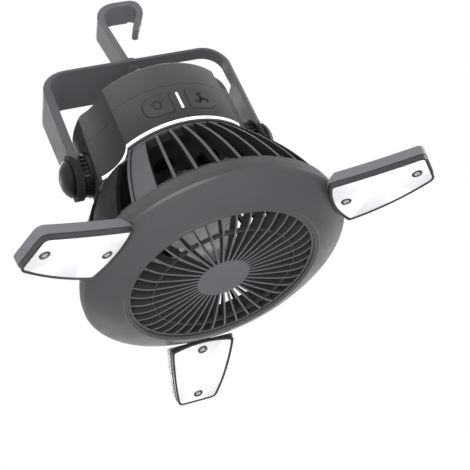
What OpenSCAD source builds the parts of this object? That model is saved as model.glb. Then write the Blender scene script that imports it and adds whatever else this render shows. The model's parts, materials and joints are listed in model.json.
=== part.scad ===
// Portable camping fan: a hanging fan head with a glowing ring, a folding bracket and hook, and three
// fold-out light panels. The origin is on the fan axis, on the front face of the grille's hub.
// +Z points up from the grille to the housing, +X along the bracket's pivots, -Y to the two buttons.

/* [Front ring] */
// Radius of the grille opening
grille_r = 64.5; // [62:0.5:68]
// Radial width of the sloping bezel
bezel_w = 27; // [25:0.5:30]
// Width of the flat lip around the opening
lip_w = 3.4; // [2:0.1:4.5]
// Height of the sloping bezel
bezel_h = 13; // [11:0.5:15]
// Height of the band above the bezel
band_h = 10.7; // [9:0.1:13]
// Height of the band's upright lower part
band_low_h = 4; // [3:0.1:5]
// How much the band's top edge is set in from the largest radius
rim_inset = 1.5; // [0.8:0.1:2]
// Thickness of the ring's wall
ring_wall = 2.4; // [2:0.1:2.8]
// How much the bezel bulges over a straight slope
bezel_bulge = 0.8; // [0.3:0.1:1.2]
// Height of the air duct inside the ring
duct_h = 21; // [19:0.5:24]

/* [Grille] */
// Radius of the hub disc
grille_hub_r = 18; // [16:0.5:19]
// Number of ribs
grille_ribs = 40; // [30:1:44]
// Thickness of a rib
grille_rib_t = 1.3; // [1:0.1:1.6]
// Depth of a rib at the hub
rib_hub_h = 3; // [2.4:0.1:3.6]
// Depth of a rib at the opening's edge
rib_rim_h = 6.8; // [5:0.1:7.4]
// How far the ribs bow out in front of the hub
grille_bow = 1.6; // [0.8:0.1:2]
// Radius of the ring that ties the ribs together
tie_ring_r = 48; // [44:0.5:54]

/* [Cage] */
// Height from the front ring to the light ring
cage_h = 61.5; // [58:0.5:66]
// Number of places for fins around the cage
cage_fins = 40; // [36:1:42]
// Thickness of a fin
fin_t = 2; // [1.6:0.1:2.4]
// Depth of a fin towards the fan axis
fin_depth = 8; // [6:0.5:9]
// How much the fins bulge over a straight line
fin_bulge = 3; // [2:0.1:3.6]
// Half the angle of the closed wall behind a folded light panel
wall_half_angle = 9.5; // [7:0.5:10]
// Angle from a light panel to the wide wire pillar beside it
pillar_angle = 24; // [22:0.5:26]
// Angle that the wire pillar covers
pillar_span = 11; // [8:0.5:12]
// How far the wire pillar is set back behind the fins
pillar_inset = 1.4; // [0.6:0.1:2]
// Depth that the hollows beside the pivots reach into the cage
hollow_drop = 7; // [5:0.5:7.5]

/* [Housing] */
// Radius of the housing
drum_r = 58.5; // [57:0.5:60]
// Height of the light ring
glow_h = 4.2; // [3.4:0.1:5]
// Height of the lower housing, with the buttons
lower_h = 30.6; // [29.5:0.1:33]
// Height of the top cover
cover_h = 21.5; // [19:0.5:24]
// Wall thickness of housing and cover
drum_wall = 2.5; // [2.2:0.1:2.8]
// Radius of the rounded top edge
cover_round = 2.5; // [1.5:0.1:3]
// Radius of the hollow beside each pivot
scoop_r = 27; // [25:0.5:28]
// Distance from the housing's wall to the middle of that hollow, low down
scoop_out = 18.9; // [18.3:0.1:20.5]
// Direction of the hollow, from the pivot axis
scoop_angle = 30.6; // [30:0.1:31]
// Lean of the hollow towards the housing's front or back
scoop_lean = 4.9; // [3:0.1:5.4]
// Half the width of the cheek that crosses the light ring below a pivot
cheek_w = 16; // [14:0.5:17]

/* [Buttons] */
// Width of a button around the housing
button_w = 19.4; // [17:0.1:20]
// Height of a button
button_h = 17.6; // [16:0.1:18.5]
// Gap around a button
button_gap = 0.4; // [0.3:0.05:0.5]
// Angle from the indicator light to the middle of a button
button_angle = 15.3; // [14:0.1:16]
// Turn of the buttons and indicator light from the middle of the front
button_turn = 1.5; // [0:0.1:3]
// Height of the buttons' middle above the light ring
button_up = 16; // [15:0.1:17]
// How far a button travels
button_travel = 0.8; // [0.4:0.1:0.9]
// How far a button stands proud
button_proud = 0.3; // [0.1:0.1:0.5]

/* [Bracket] */
// Height of the pivots above the light ring
pivot_up = 15.6; // [15:0.1:16.4]
// Thickness of the bracket's strap
strap_t = 5.3; // [4.6:0.1:5.8]
// Size of the bevel along the strap's outer edges
strap_bevel = 3.2; // [2.4:0.1:3.4]
// Width of the strap
strap_w = 38; // [36:0.5:42]
// Free height between the housing and the strap
strap_gap = 43.2; // [42.5:0.1:48]
// Outer radius of the strap's corners
strap_corner = 20; // [14:0.5:22]
// Radius of the round eye at a leg's end
eye_r = 16; // [15:0.5:17]
// Radius of the pivot bolt
bolt_r = 4.1; // [3.6:0.05:4.4]
// Radial clearance between bolt and bracket
bolt_fit = 0.05; // [0.02:0.01:0.1]
// Width of a toothed disc along the pivot
disc_w = 7.3; // [6.5:0.1:8]
// Height of the domed knob
knob_h = 7.4; // [7:0.1:9]
// Radius of the domed knob
knob_r = 13; // [12:0.1:14]

/* [Hook] */
// Width of the hook's flat strip
hook_w = 18.5; // [16:0.5:20]
// Thickness of the hook's strip
hook_t = 5; // [4.4:0.1:5.4]
// Height of the hook above its pin
hook_h = 69.5; // [66:0.1:70]
// Lean of the hook's stem
hook_lean = 6.2; // [4:0.1:7]
// Outer radius of the hook's bend
hook_bend = 17.5; // [16:0.1:18.5]
// Length of the flat on top of the bend
hook_flat = 11; // [8:0.5:12]
// Outer radius of the bend before the tip
tip_bend = 9.4; // [8.5:0.1:11]
// Length of the hook's tip
tip_l = 15; // [12:0.5:18]
// Width of the hook's tip
tip_w = 9.5; // [7:0.5:12]
// Gap between the hook and its window in the strap
window_gap = 0.5; // [0.4:0.05:0.8]
// Radius of the hook's pin
hook_pin_r = 1.6; // [1.3:0.05:1.8]

/* [Light panels] */
// Length of a light panel beyond its hinge
panel_out = 55.5; // [50:0.5:57]
// Length of a light panel inside its hinge
panel_in = 12; // [10.5:0.5:12.5]
// Width of a panel at its inner edge
panel_w_in = 48; // [44:0.5:49]
// Width of a panel at its outer edge
panel_w_out = 30; // [27:0.5:33]
// How far the inner edge curves out
panel_edge_bow = 4; // [2:0.5:5]
// How far the long sides curve out
panel_side_bow = 1.2; // [0.4:0.1:1.6]
// Softening of the outer corners
panel_corner = 5; // [3:0.5:6]
// Droop of a panel when spread
panel_droop = 9; // [7:0.5:11]
// Bow of a panel along its length
panel_bow = 1.6; // [1:0.1:2]
// Depth of a panel's front frame
frame_d = 3.5; // [3.3:0.1:4]
// Depth of a panel's rear shell
shell_d = 6.3; // [6:0.1:6.8]
// How far the frame is set in from the shell
frame_step = 0.5; // [0.3:0.1:0.8]
// Width of the frame around the lens
frame_w = 1.4; // [1.2:0.1:1.8]
// Thickness of the lens
lens_t = 1.6; // [1.2:0.1:1.8]
// Distance from the front ring to a hinge
hinge_out = 5.5; // [5.2:0.1:6]
// Radius of a hinge barrel
barrel_r = 3; // [2.6:0.1:3.1]
// Width of a hinge barrel
barrel_w = 9.2; // [7:0.1:10]
// Thickness of a hinge lug
lug_t = 2.8; // [2.2:0.1:3.2]
// Radius of a hinge pin
panel_pin_r = 1.3; // [1.1:0.05:1.5]

/* [Fan and power] */
// Gap between the blades' tips and the air duct
tip_gap = 4.4; // [3:0.1:6]
// Radius of the impeller's hub
impeller_hub_r = 20; // [18:0.5:22]
// Height of the impeller
impeller_h = 18; // [15:0.5:19]
// Number of blades
blades = 3; // [2:1:3]
// Angle that a blade covers
blade_span = 92; // [70:1:100]
// Pitch of a blade
blade_pitch = 9.5; // [7:0.5:10.5]
// Thickness of a blade
blade_t = 2; // [1.6:0.1:2.4]
// Radius of the motor
motor_r = 18; // [15:0.5:20]
// Length of the motor
motor_l = 38; // [34:0.5:40]
// Radius of the motor's shaft
shaft_r = 1.6; // [1.4:0.1:2]
// Diameter of a battery cell
cell_d = 18.4; // [17.5:0.1:18.6]
// Length of a battery cell
cell_l = 65; // [60:0.5:66]
// Number of battery cells
cells = 3; // [1:1:3]
// Height of the cells' middle above the light ring
cell_up = 22.6; // [21:0.1:24]
// Height of the charging socket above the light ring
port_up = 10; // [8:0.5:12]

/* [Hidden] */
$fn = 96;
over = 1;
thread_fit = 0.05;
turn_fit = 0.06;
part_gap = 0.1;
move_gap = 0.4;

ring_r = grille_r + bezel_w;
rim_r = ring_r - rim_inset;
ring_top = bezel_h + band_h;
cage_top = ring_top + cage_h;
glow_top = cage_top + glow_h;
seam_z = glow_top + lower_h;
cover_top = seam_z + cover_h;
pivot_z = glow_top + pivot_up;

lip_h = 2;
lip_round = 0.7;
duct_in_r = grille_r + 1.9;
duct_out_r = duct_in_r + ring_wall;
flange_in_r = rim_r - 10;
bezel_end = [ring_r - 1.2, bezel_h - 1.4];
bezel_start = [grille_r + lip_w, 0.5];
bezel_slope = (bezel_end.y - bezel_start.y) / (bezel_end.x - bezel_start.x);
bezel_inside = ring_wall * norm([1, bezel_slope]);

grille_ring_in_r = grille_r - 1.7;
grille_ring_out_r = duct_in_r - part_gap;
grille_ring_h = 2.5;
tie_ring_t = 1.4;
tie_ring_h = 2.6;
tie_ring_z = 0.6 - grille_bow;

panel_angles = [210, 330, 90];
fin_step = 360 / cage_fins;
collar_r = drum_r - 1.7;
collar_h = 8;
ledge_h = 3.2;
plate_r = drum_r - 11;
plate_t = 3;
plate_z = cage_top - ledge_h - plate_t;
foot_r = rim_r - 3.5;
foot_in_r = rim_r - 8;
foot_h = 3.3;
cage_screw_r = (foot_r + foot_in_r) / 2;
cage_screw_offsets = [162, 180, 204];
cage_screw_angles = [for (a = panel_angles, d = cage_screw_offsets) round((a + d) / fin_step) * fin_step];
flange_t = 1.6;
flange_r = drum_r - 1;
shelf_t = 2;
scoop_reach = drum_r + scoop_out;
scoop_angles = [scoop_angle, 180 - scoop_angle, 180 + scoop_angle, 360 - scoop_angle];
shelf_half = acos((drum_r * drum_r + scoop_reach * scoop_reach - scoop_r * scoop_r)
    / (2 * drum_r * scoop_reach)) + 5;

glow_in_r = drum_r - 11;
cheek_d = 4;
seam_groove = 0.3;
floor_t = 2.5;
bench = 1.5;
seat_x = drum_r - bench;
boss_in_x = seat_x - 10;
boss_r = 9;
leg_in_x = seat_x + disc_w + move_gap;
leg_out_x = leg_in_x + strap_t;
strap_z = cover_top + strap_gap;
strap_top = strap_z + strap_t;
head_r = 6.6;
head_w = 3.6;
head_gap = 0.6;
bolt_in_x = boss_in_x + 1;

cover_screw_at = drum_r - 16.5;
cover_screw_angles = [60, 120, 240, 300];
screw_boss_r = 4;
screw_r = 1.5;
screw_head_r = 3;
screw_head_h = 2;
screw_l = 30;

hook_z = strap_z + strap_t / 2;
hook_barrel_r = hook_t * 0.88;
lug_r = hook_t;
lug_w = 5.2;
window_w = hook_w + 2 * window_gap;
window_left = -hook_barrel_r - 1.1;
window_low = hook_z - 33.6;
hook_top = hook_z + hook_h;
bend_z = hook_top - hook_bend;
bend_x = hook_bend - hook_t / 2 - (bend_z - hook_z) * tan(hook_lean);
tip_turn = 119;

hinge_r = ring_r + hinge_out;
hinge_z = bezel_h - 0.4;
panel_back = 1.8;
panel_split = panel_back - shell_d;
panel_front = panel_split - frame_d;
lens_step = 0.5;
lens_gap = 0.25;
lens_front = panel_front + lens_step;
panel_samples = 12;
notch_u = barrel_r + 4.4;
notch_w = barrel_w + 2 * lug_t + 1.6;
notch_floor = 1.3;
panel_wall = 1.6;
board_t = 1.2;
panel_screws_u = [-2.8, panel_out - 10];
panel_screw_r = 1.1;
panel_head_r = 3.5;
panel_head_h = 0.8;
board_clear = panel_wall + 0.3;

button_z = glow_top + button_up;
button_depth = drum_wall + part_gap;
button_flange = 1.2;
plunger_r = 2;
switch_h = 2.4;
switch_w = 6;
board_y = drum_r - 11.3;
board_z = glow_top + floor_t;
guide_w = 2;
board_w = 2 * (drum_r - 31.5);
board_h = lower_h - 8;

motor_z = plate_z - motor_l;
nose_h = 3;
impeller_r = duct_in_r - tip_gap;
impeller_low = lip_h + rib_rim_h + 3.2;
shaft_low = impeller_low + 5;
blade_camber_r = 330;
blade_rise = 2.4;
blade_turn = 17;
cell_z = glow_top + cell_up;
cell_pitch = cell_d + 1;
holder_t = 2;
post_w = 6;

port_z = glow_top + port_up;
port_w = 9;
port_h = 3.3;
port_l = 7.5;
flap_w = 15;
flap_h = 9;
flap_t = 2;

// ---- Helpers ----

// Points from p to q along a curve that bulges by sag to the right of the way
function bow(p, q, sag, n) = [for (i = [0:n]) let (t = i / n, d = (q - p) / norm(q - p))
    p + (q - p) * t + [d.y, -d.x] * 4 * sag * t * (1 - t)];

// The corner at b, on the way from a to c, softened over the distance d
function corner(a, b, c, d, n = 4) = let (s = b + d * (a - b) / norm(a - b), e = b + d * (c - b) / norm(c - b))
    [for (k = [0:n]) let (t = k / n) (1 - t) * (1 - t) * s + 2 * t * (1 - t) * b + t * t * e];

// The points of an outline with each corner softened over the distance d
function soft(pts, d) = [for (i = [0:len(pts) - 1])
    each corner(pts[(i + len(pts) - 1) % len(pts)], pts[i], pts[(i + 1) % len(pts)], d)];

// A flat shape in the X-Z plane, made w thick about Y = 0
module slab_y(w) {
    rotate([90, 0, 0])
        translate([0, 0, -w / 2])
            linear_extrude(w) children();
}

// A shape turned so that its +Z runs along +X
module along_x() {
    rotate([0, 90, 0]) children();
}

// The shape and its mirror image at the other pivot
module right_side() {
    children();
}

module left_side() {
    mirror([1, 0, 0]) children();
}

// A cross-head screw with its head's top at the origin and its shank along -Z
module screw(head, head_h, shank, length) {
    slot_l = head * 1.25;
    slot_w = head * 0.28;
    difference() {
        translate([0, 0, -head_h]) cylinder(r = head, h = head_h);
        for (a = [0, 90])
            rotate(a) translate([-slot_l / 2, -slot_w / 2, -head_h * 0.6]) cube([slot_l, slot_w, head_h]);
    }
    translate([0, 0, -head_h - length]) cylinder(r = shank, h = length + 0.1 * head_h);
}

// ---- Front ring and grille ----

module ring_section() {
    inside_top = [bezel_end.x - ring_wall / 2, bezel_end.y + bezel_inside];
    polygon(concat(
        [[duct_in_r, lip_h], [grille_r, lip_h], [grille_r, lip_round], [grille_r + lip_round, 0],
         [grille_r + lip_w - 0.5, 0]],
        bow(bezel_start, bezel_end, bezel_bulge, 10),
        [[ring_r, bezel_h], [ring_r, bezel_h + band_low_h], [rim_r + 0.1, ring_top - lip_round],
         [rim_r - lip_round, ring_top],
         [flange_in_r, ring_top], [flange_in_r, ring_top - ring_wall],
         [rim_r - ring_wall, ring_top - ring_wall], [ring_r - ring_wall, inside_top.y + 1],
         inside_top, [duct_out_r, max(lip_h + 1, (duct_out_r - bezel_start.x) * bezel_slope + bezel_inside)],
         [duct_out_r, duct_h], [duct_in_r, duct_h]]));
}

module hinge_lugs(angle) {
    root_r = ring_r - ring_wall + 0.4;
    for (side = [-1, 1])
        rotate(angle)
            translate([0, side * (barrel_w / 2 + 0.3 + lug_t / 2), 0])
                difference() {
                    slab_y(lug_t) {
                        translate([hinge_r, hinge_z]) circle(barrel_r);
                        polygon([[hinge_r, hinge_z + barrel_r], [root_r, hinge_z + barrel_r + 3.5],
                            [root_r, hinge_z - 0.2], [hinge_r, hinge_z - barrel_r]]);
                    }
                    translate([hinge_r, 0, hinge_z])
                        rotate([90, 0, 0])
                            cylinder(r = panel_pin_r + 0.02, h = lug_t + 2 * over, center = true);
                }
}

module front_ring() {
    color("#4b4c4e")
        difference() {
            union() {
                rotate_extrude($fn = 180) ring_section();
                for (a = panel_angles) hinge_lugs(a);
            }
            for (a = cage_screw_angles)
                rotate(a)
                    translate([cage_screw_r, 0, ring_top - ring_wall - over])
                        cylinder(r = screw_r + thread_fit, h = ring_wall + 2 * over, $fn = 32);
        }
}

module grille_rib() {
    start = grille_hub_r - 1;
    dip_r = (grille_hub_r + grille_r) / 2 + 4;
    end = grille_ring_in_r + 1;
    front = concat(bow([start, 0], [dip_r, -grille_bow], 0.3, 4),
        bow([dip_r + 4, -grille_bow], [end, lip_h + 0.1], 0.9, 5));
    back = bow([end, lip_h + rib_rim_h], [start, rib_hub_h - 0.6], -0.8, 8);
    slab_y(grille_rib_t) polygon(concat(front, back));
}

module grille() {
    color("#55575a") {
        cylinder(r = grille_hub_r, h = rib_hub_h);
        difference() {
            translate([0, 0, lip_h])
                cylinder(r = grille_ring_out_r, h = grille_ring_h, $fn = 180);
            translate([0, 0, lip_h - over])
                cylinder(r = grille_ring_in_r, h = grille_ring_h + 2 * over, $fn = 180);
        }
        difference() {
            translate([0, 0, tie_ring_z]) cylinder(r = tie_ring_r + tie_ring_t, h = tie_ring_h, $fn = 180);
            translate([0, 0, tie_ring_z - over])
                cylinder(r = tie_ring_r, h = tie_ring_h + 2 * over, $fn = 180);
        }
        for (i = [0:grille_ribs - 1]) rotate(i * 360 / grille_ribs) grille_rib();
    }
}

// ---- Cage ----

function fin_outer() = bow([rim_r - 0.4, ring_top], [drum_r - 0.3, cage_top - flange_t / 2], fin_bulge, 10);

function fin_strip(depth, from = 0) = concat(
    [for (p = fin_outer()) p - [from, 0]],
    [for (i = [10:-1:0]) fin_outer()[i] - [depth, 0]]);

function near_angle(a, b) = abs((a - b + 540) % 360 - 180);

function fin_is_free(a) = min([for (p = panel_angles) near_angle(a, p)]) > wall_half_angle + 1
    && min([for (p = panel_angles) near_angle(a, p + pillar_angle)]) > pillar_span / 2 + 1;

// The floor of a hollow where it ends in the cage
module scoop_shelf(angle) {
    low = cage_top - hollow_drop - shelf_t;
    in = plate_r + 2.4;
    out = fin_outer()[9].x - 1;
    rotate(angle - shelf_half)
        rotate_extrude(angle = 2 * shelf_half, $fn = 180)
            translate([in, low]) square([out - in, shelf_t + 0.4]);
}

module cage_wall(angle, half, depth, from) {
    rotate(angle - half)
        rotate_extrude(angle = 2 * half, $fn = 180)
            polygon(fin_strip(depth, from));
}

module rib_cage() {
    color("#3c3d3f")
        difference() {
            union() {
                for (i = [0:cage_fins - 1]) {
                    a = (i + 0.5) * fin_step;
                    if (fin_is_free(a)) rotate(a) slab_y(fin_t) polygon(fin_strip(fin_depth));
                }
                for (a = panel_angles) {
                    cage_wall(a, wall_half_angle, fin_depth * 0.6, 1);
                    cage_wall(a + pillar_angle, pillar_span / 2, fin_depth * 0.8, pillar_inset);
                    rotate(a + pillar_angle - pillar_span / 2) slab_y(fin_t) polygon(fin_strip(fin_depth));
                }
                rotate_extrude($fn = 180) {
                    translate([foot_in_r, ring_top]) square([foot_r - foot_in_r, foot_h]);
                    translate([plate_r + 0.4, cage_top - collar_h])
                        square([collar_r - plate_r - 0.4, collar_h]);
                    translate([plate_r - 5, cage_top - ledge_h]) square([6, ledge_h]);
                    translate([plate_r + 0.4, cage_top - flange_t])
                        square([flange_r - plate_r - 0.4, flange_t]);
                }
                for (a = scoop_angles) scoop_shelf(a);
            }
            intersection() {
                scoops();
                translate([0, 0, cage_top - hollow_drop]) cylinder(r = rim_r, h = hollow_drop + over);
            }
            for (a = cage_screw_angles)
                rotate(a)
                    translate([cage_screw_r, 0, ring_top - over])
                        cylinder(r = screw_r + thread_fit, h = foot_h + 2 * over, $fn = 32);
            for (a = [45:90:315])
                rotate(a)
                    translate([plate_r - 2.5, 0, plate_z - over])
                        cylinder(r = 1.3, h = cage_top - plate_z + 2 * over, $fn = 32);
        }
}

module cage_screws() {
    color("silver")
        for (a = cage_screw_angles)
            rotate(a)
                translate([cage_screw_r, 0, ring_top + foot_h + 1.6])
                    screw(2.1, 1.6, screw_r, foot_h + ring_wall, $fn = 32);
}

// ---- Light ring, housing and cover ----

// The four hollows beside the pivots, made wider by grow
module scoops(grow = 0) {
    for (mx = [0, 1], my = [0, 1])
        mirror([mx, 0, 0])
            mirror([0, my, 0])
                rotate(180 + scoop_angle)
                    translate([scoop_reach, 0, cage_top])
                        rotate(-180 - scoop_angle)
                            rotate([scoop_lean, 0, 0])
                                translate([0, 0, -hollow_drop - 3 * over])
                                    cylinder(r = scoop_r + grow, h = 2 * (cover_top - cage_top), $fn = 128);
}

module drum(low, high) {
    difference() {
        translate([0, 0, low]) cylinder(r = drum_r, h = high - low, $fn = 180);
        scoops();
    }
}

// The fine groove between housing and cover
module seam_cut() {
    difference() {
        translate([0, 0, seam_z - seam_groove]) cylinder(r = drum_r + over, h = 2 * seam_groove, $fn = 180);
        difference() {
            translate([0, 0, seam_z - over]) cylinder(r = drum_r - seam_groove, h = 2 * over, $fn = 180);
            scoops(seam_groove);
        }
    }
}

module drum_room(low, high) {
    difference() {
        translate([0, 0, low]) cylinder(r = drum_r - drum_wall, h = high - low, $fn = 180);
        scoops(drum_wall);
    }
}

// The room of the two cheeks that cross the light ring below the pivots, smaller by gap
module cheek_room(gap) {
    for (side = [-1, 1])
        translate([side * (drum_r + gap) - cheek_d, gap - cheek_w, cage_top - over])
            cube([2 * cheek_d, 2 * (cheek_w - gap), glow_h + 2 * over]);
}

module light_ring() {
    color("white")
        difference() {
            drum(cage_top, glow_top);
            translate([0, 0, cage_top - over])
                cylinder(r = glow_in_r, h = glow_h + 2 * over, $fn = 180);
            cheek_room(0);
        }
}

module light_ring_board() {
    r = glow_in_r - 4;
    color("ivory") {
        difference() {
            translate([0, 0, cage_top]) cylinder(r = glow_in_r - 0.5, h = 1.6, $fn = 180);
            translate([0, 0, cage_top - over]) cylinder(r = r - 4, h = 6, $fn = 180);
        }
        for (i = [0:23])
            rotate(i * 15)
                translate([r - 1, -1.4, cage_top + 1.5]) cube([2.8, 2.8, 0.8]);
    }
}

// Turns a shape with its +X outwards to the place of a button
module at_button(side) {
    rotate(-90 + button_turn + side * button_angle) children();
}

// A button's face, straight towards the other button and round at its other end
module button_face(grow) {
    w = button_w + 2 * grow;
    h = button_h + 2 * grow;
    big = 7.6 + grow;
    small = 2.4 + grow;
    for (z = [-1, 1]) {
        translate([w / 2 - big, z * (h / 2 - big)]) circle(big);
        translate([-w / 2 + small, z * (h / 2 - small)]) circle(small);
    }
    translate([-w / 2 + small, -h / 2]) square([w - big - small, h]);
    translate([-w / 2, -h / 2 + small]) square([w - big, h - 2 * small]);
    translate([0, -h / 2 + big]) square([w / 2, h - 2 * big]);
}

// A bar with the face's outline, from the fan axis outwards past the housing
module button_bar(side, grow) {
    at_button(side)
        translate([drum_r - 15, 0, button_z])
            rotate([90, 0, 90])
                linear_extrude(20)
                    if (side > 0) button_face(grow); else mirror([1, 0]) button_face(grow);
}

// Angle of a button from the middle of the front
function button_at(side) = button_turn + side * button_angle;

// How far from the fan axis a button's plunger ends, just clear of its switch when pressed
function plunger_end(side) = (board_y + switch_h) / cos(button_at(side)) + button_travel
    + plunger_r * tan(abs(button_at(side))) + part_gap;

module button(side) {
    color("#47484a") {
        difference() {
            union() {
                intersection() {
                    button_bar(side, 0);
                    cylinder(r = drum_r + button_proud, h = cover_top, $fn = 180);
                }
                intersection() {
                    button_bar(side, button_flange);
                    cylinder(r = drum_r - button_depth, h = cover_top, $fn = 180);
                }
            }
            cylinder(r = drum_r - button_depth - 1.2, h = cover_top, $fn = 180);
        }
        at_button(side)
            translate([plunger_end(side), 0, button_z])
                along_x() cylinder(r = plunger_r, h = drum_r - 1 - plunger_end(side));
    }
}

module indicator_slot(grow) {
    rotate(-90 + button_turn)
        translate([drum_r - 8, 0, button_z])
            rotate([90, 0, 90])
                linear_extrude(12) {
                    for (z = [-1, 1]) translate([0, z * 6.4]) circle(0.8 + grow, $fn = 24);
                    translate([-0.8 - grow, -6.4]) square([1.6 + 2 * grow, 12.8]);
                }
}

module indicator_light() {
    color("white")
        intersection() {
            indicator_slot(0);
            difference() {
                cylinder(r = drum_r + 0.1, h = cover_top, $fn = 180);
                cylinder(r = drum_r - 5, h = cover_top, $fn = 180);
            }
        }
}

module pivot_boss() {
    translate([boss_in_x, 0, pivot_z]) along_x() cylinder(r = boss_r, h = drum_r - 2 - boss_in_x);
}

module pivot_cuts() {
    translate([boss_in_x - over, 0, pivot_z])
        along_x() cylinder(r = bolt_r + thread_fit, h = drum_r);
    translate([seat_x, 0, pivot_z]) along_x() cylinder(r = eye_r + move_gap, h = drum_r);
}

module cover_screw_places() {
    for (a = cover_screw_angles) rotate(a) translate([cover_screw_at, 0, 0]) children();
}

module port_slot(grow) {
    w = port_w + 2 * grow;
    h = port_h + 2 * grow;
    rotate([90, 0, 180])
        linear_extrude(30) {
            for (x = [-1, 1]) translate([x * (w - h) / 2, 0]) circle(h / 2, $fn = 32);
            translate([-(w - h) / 2, -h / 2]) square([w - h, h]);
        }
}

module control_housing() {
    color("#48494b")
        difference() {
            union() {
                difference() {
                    drum(glow_top, seam_z);
                    drum_room(glow_top + floor_t, seam_z + over);
                    translate([0, 0, glow_top - over]) cylinder(r = 22, h = floor_t + 2 * over);
                }
                right_side() pivot_boss();
                left_side() pivot_boss();
                cover_screw_places()
                    translate([0, 0, glow_top + 1]) cylinder(r = screw_boss_r, h = lower_h - 1);
                translate([-6, drum_r - drum_wall - 4, glow_top + 1]) cube([12, 5, 14]);
                for (side = [-1, 1])
                    translate([side * (board_w / 2 + part_gap + guide_w / 2) - guide_w / 2, -board_y - 2,
                        glow_top + 1])
                        cube([guide_w, 5, 14]);
                intersection() {
                    drum(cage_top + part_gap, glow_top + 0.5);
                    cheek_room(part_gap);
                }
            }
            seam_cut();
            right_side() pivot_cuts();
            left_side() pivot_cuts();
            cover_screw_places()
                translate([0, 0, glow_top + floor_t])
                    cylinder(r = screw_r + thread_fit, h = lower_h, $fn = 32);
            for (side = [-1, 1]) button_bar(side, button_gap);
            indicator_slot(thread_fit);
            translate([0, drum_r - 12, port_z]) port_slot(thread_fit);
            translate([-flap_w / 2 - move_gap, drum_r - flap_t - move_gap, port_z - flap_h / 2 - move_gap])
                cube([flap_w + 2 * move_gap, 5, flap_h + 2 * move_gap]);
        }
}

module top_cover() {
    color("#515254")
        difference() {
            union() {
                difference() {
                    intersection() {
                        drum(seam_z, cover_top);
                        rotate_extrude($fn = 180)
                            polygon(concat([[0, seam_z - over], [drum_r, seam_z - over]],
                                bow([drum_r, cover_top - cover_round], [drum_r - cover_round, cover_top],
                                    cover_round * 0.207 * sqrt(2), 6), [[0, cover_top]]));
                    }
                    drum_room(seam_z - over, cover_top - drum_wall);
                }
                cover_screw_places()
                    translate([0, 0, seam_z]) cylinder(r = screw_boss_r, h = cover_h - 1);
            }
            right_side() pivot_cuts();
            left_side() pivot_cuts();
            cover_screw_places() {
                translate([0, 0, seam_z - over])
                    cylinder(r = screw_r + 0.2, h = cover_h + 2 * over, $fn = 32);
                translate([0, 0, cover_top - screw_head_h - 0.5])
                    cylinder(r = screw_head_r + 0.3, h = 5, $fn = 48);
            }
        }
}

module cover_screws() {
    color("silver")
        cover_screw_places()
            translate([0, 0, cover_top - 0.5])
                screw(screw_head_r, screw_head_h, screw_r, screw_l, $fn = 32);
}

// ---- Inside the housing ----

module control_board() {
    color("seagreen") {
        translate([-board_w / 2, -board_y, board_z]) cube([board_w, board_t + 0.4, board_h]);
        for (side = [-1, 1]) {
            x = (board_y + switch_h) * tan(button_at(side));
            translate([x - switch_w / 2, -board_y - switch_h, button_z - switch_w / 2])
                cube([switch_w, switch_h + 0.1, switch_w]);
        }
    }
}

module battery_cells() {
    color("cornflowerblue")
        for (i = [0:cells - 1])
            translate([-cell_l / 2, (i - (cells - 1) / 2) * cell_pitch, cell_z])
                along_x() cylinder(d = cell_d, h = cell_l);
}

module battery_holder() {
    l = cell_l / 2 + holder_t + part_gap;
    w = cells * cell_pitch / 2 + holder_t / 2;
    low = cell_z - cell_d / 2 - holder_t - part_gap;
    color("#303133") {
        translate([0, 0, low]) linear_extrude(holder_t) polygon(soft([[l, w], [-l, w], [-l, -w], [l, -w]], 10));
        for (side = [-1, 1])
            translate([side * (l - holder_t / 2) - holder_t / 2, 10 - w, low])
                cube([holder_t, 2 * w - 20, cell_d * 0.7]);
        for (x = [-1, 1], y = [-1, 1])
            translate([x * cell_l * 0.37 - post_w / 2, y * cell_pitch - post_w / 2, glow_top + floor_t])
                cube([post_w, post_w, low - glow_top - floor_t]);
    }
}

module charging_socket() {
    color("silver")
        difference() {
            translate([0, drum_r - 12 + 0.1, port_z])
                intersection() {
                    port_slot(0);
                    translate([-10, 0, -10]) cube([20, port_l, 20]);
                }
            translate([0, drum_r - 10.5, port_z]) port_slot(-0.4);
        }
}

module port_cover() {
    color("#2c2d2e")
        intersection() {
            translate([-flap_w / 2, drum_r - flap_t, port_z - flap_h / 2]) cube([flap_w, 5, flap_h]);
            cylinder(r = drum_r, h = cover_top, $fn = 180);
        }
}

module motor_plate() {
    color("#3a3b3d")
        difference() {
            translate([0, 0, plate_z]) cylinder(r = plate_r - 0.1, h = plate_t);
            for (a = [0:60:300])
                rotate(a)
                    translate([(motor_r + plate_r) / 2 - 2, 0, plate_z - over])
                        cylinder(r = 8, h = plate_t + 2 * over);
            for (a = [45:90:315])
                rotate(a)
                    translate([plate_r - 2.5, 0, plate_z - over])
                        cylinder(r = 1.3, h = plate_t + 2 * over, $fn = 32);
        }
}

module plate_screws() {
    color("silver")
        for (a = [45:90:315])
            rotate(a)
                translate([plate_r - 2.5, 0, plate_z - 1.5])
                    mirror([0, 0, 1]) screw(2.2, 1.5, 1.2, plate_t + ledge_h - 0.4, $fn = 32);
}

module motor() {
    color("darkgray")
        difference() {
            union() {
                translate([0, 0, motor_z]) cylinder(r = motor_r, h = motor_l);
                translate([0, 0, motor_z - nose_h]) cylinder(r = motor_r / 3, h = nose_h + 1);
            }
            translate([0, 0, motor_z - nose_h - over])
                cylinder(r = shaft_r + turn_fit, h = 16, $fn = 48);
        }
}

module motor_shaft() {
    color("silver")
        translate([0, 0, shaft_low]) cylinder(r = shaft_r, h = motor_z + 8 - shaft_low, $fn = 48);
}

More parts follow.
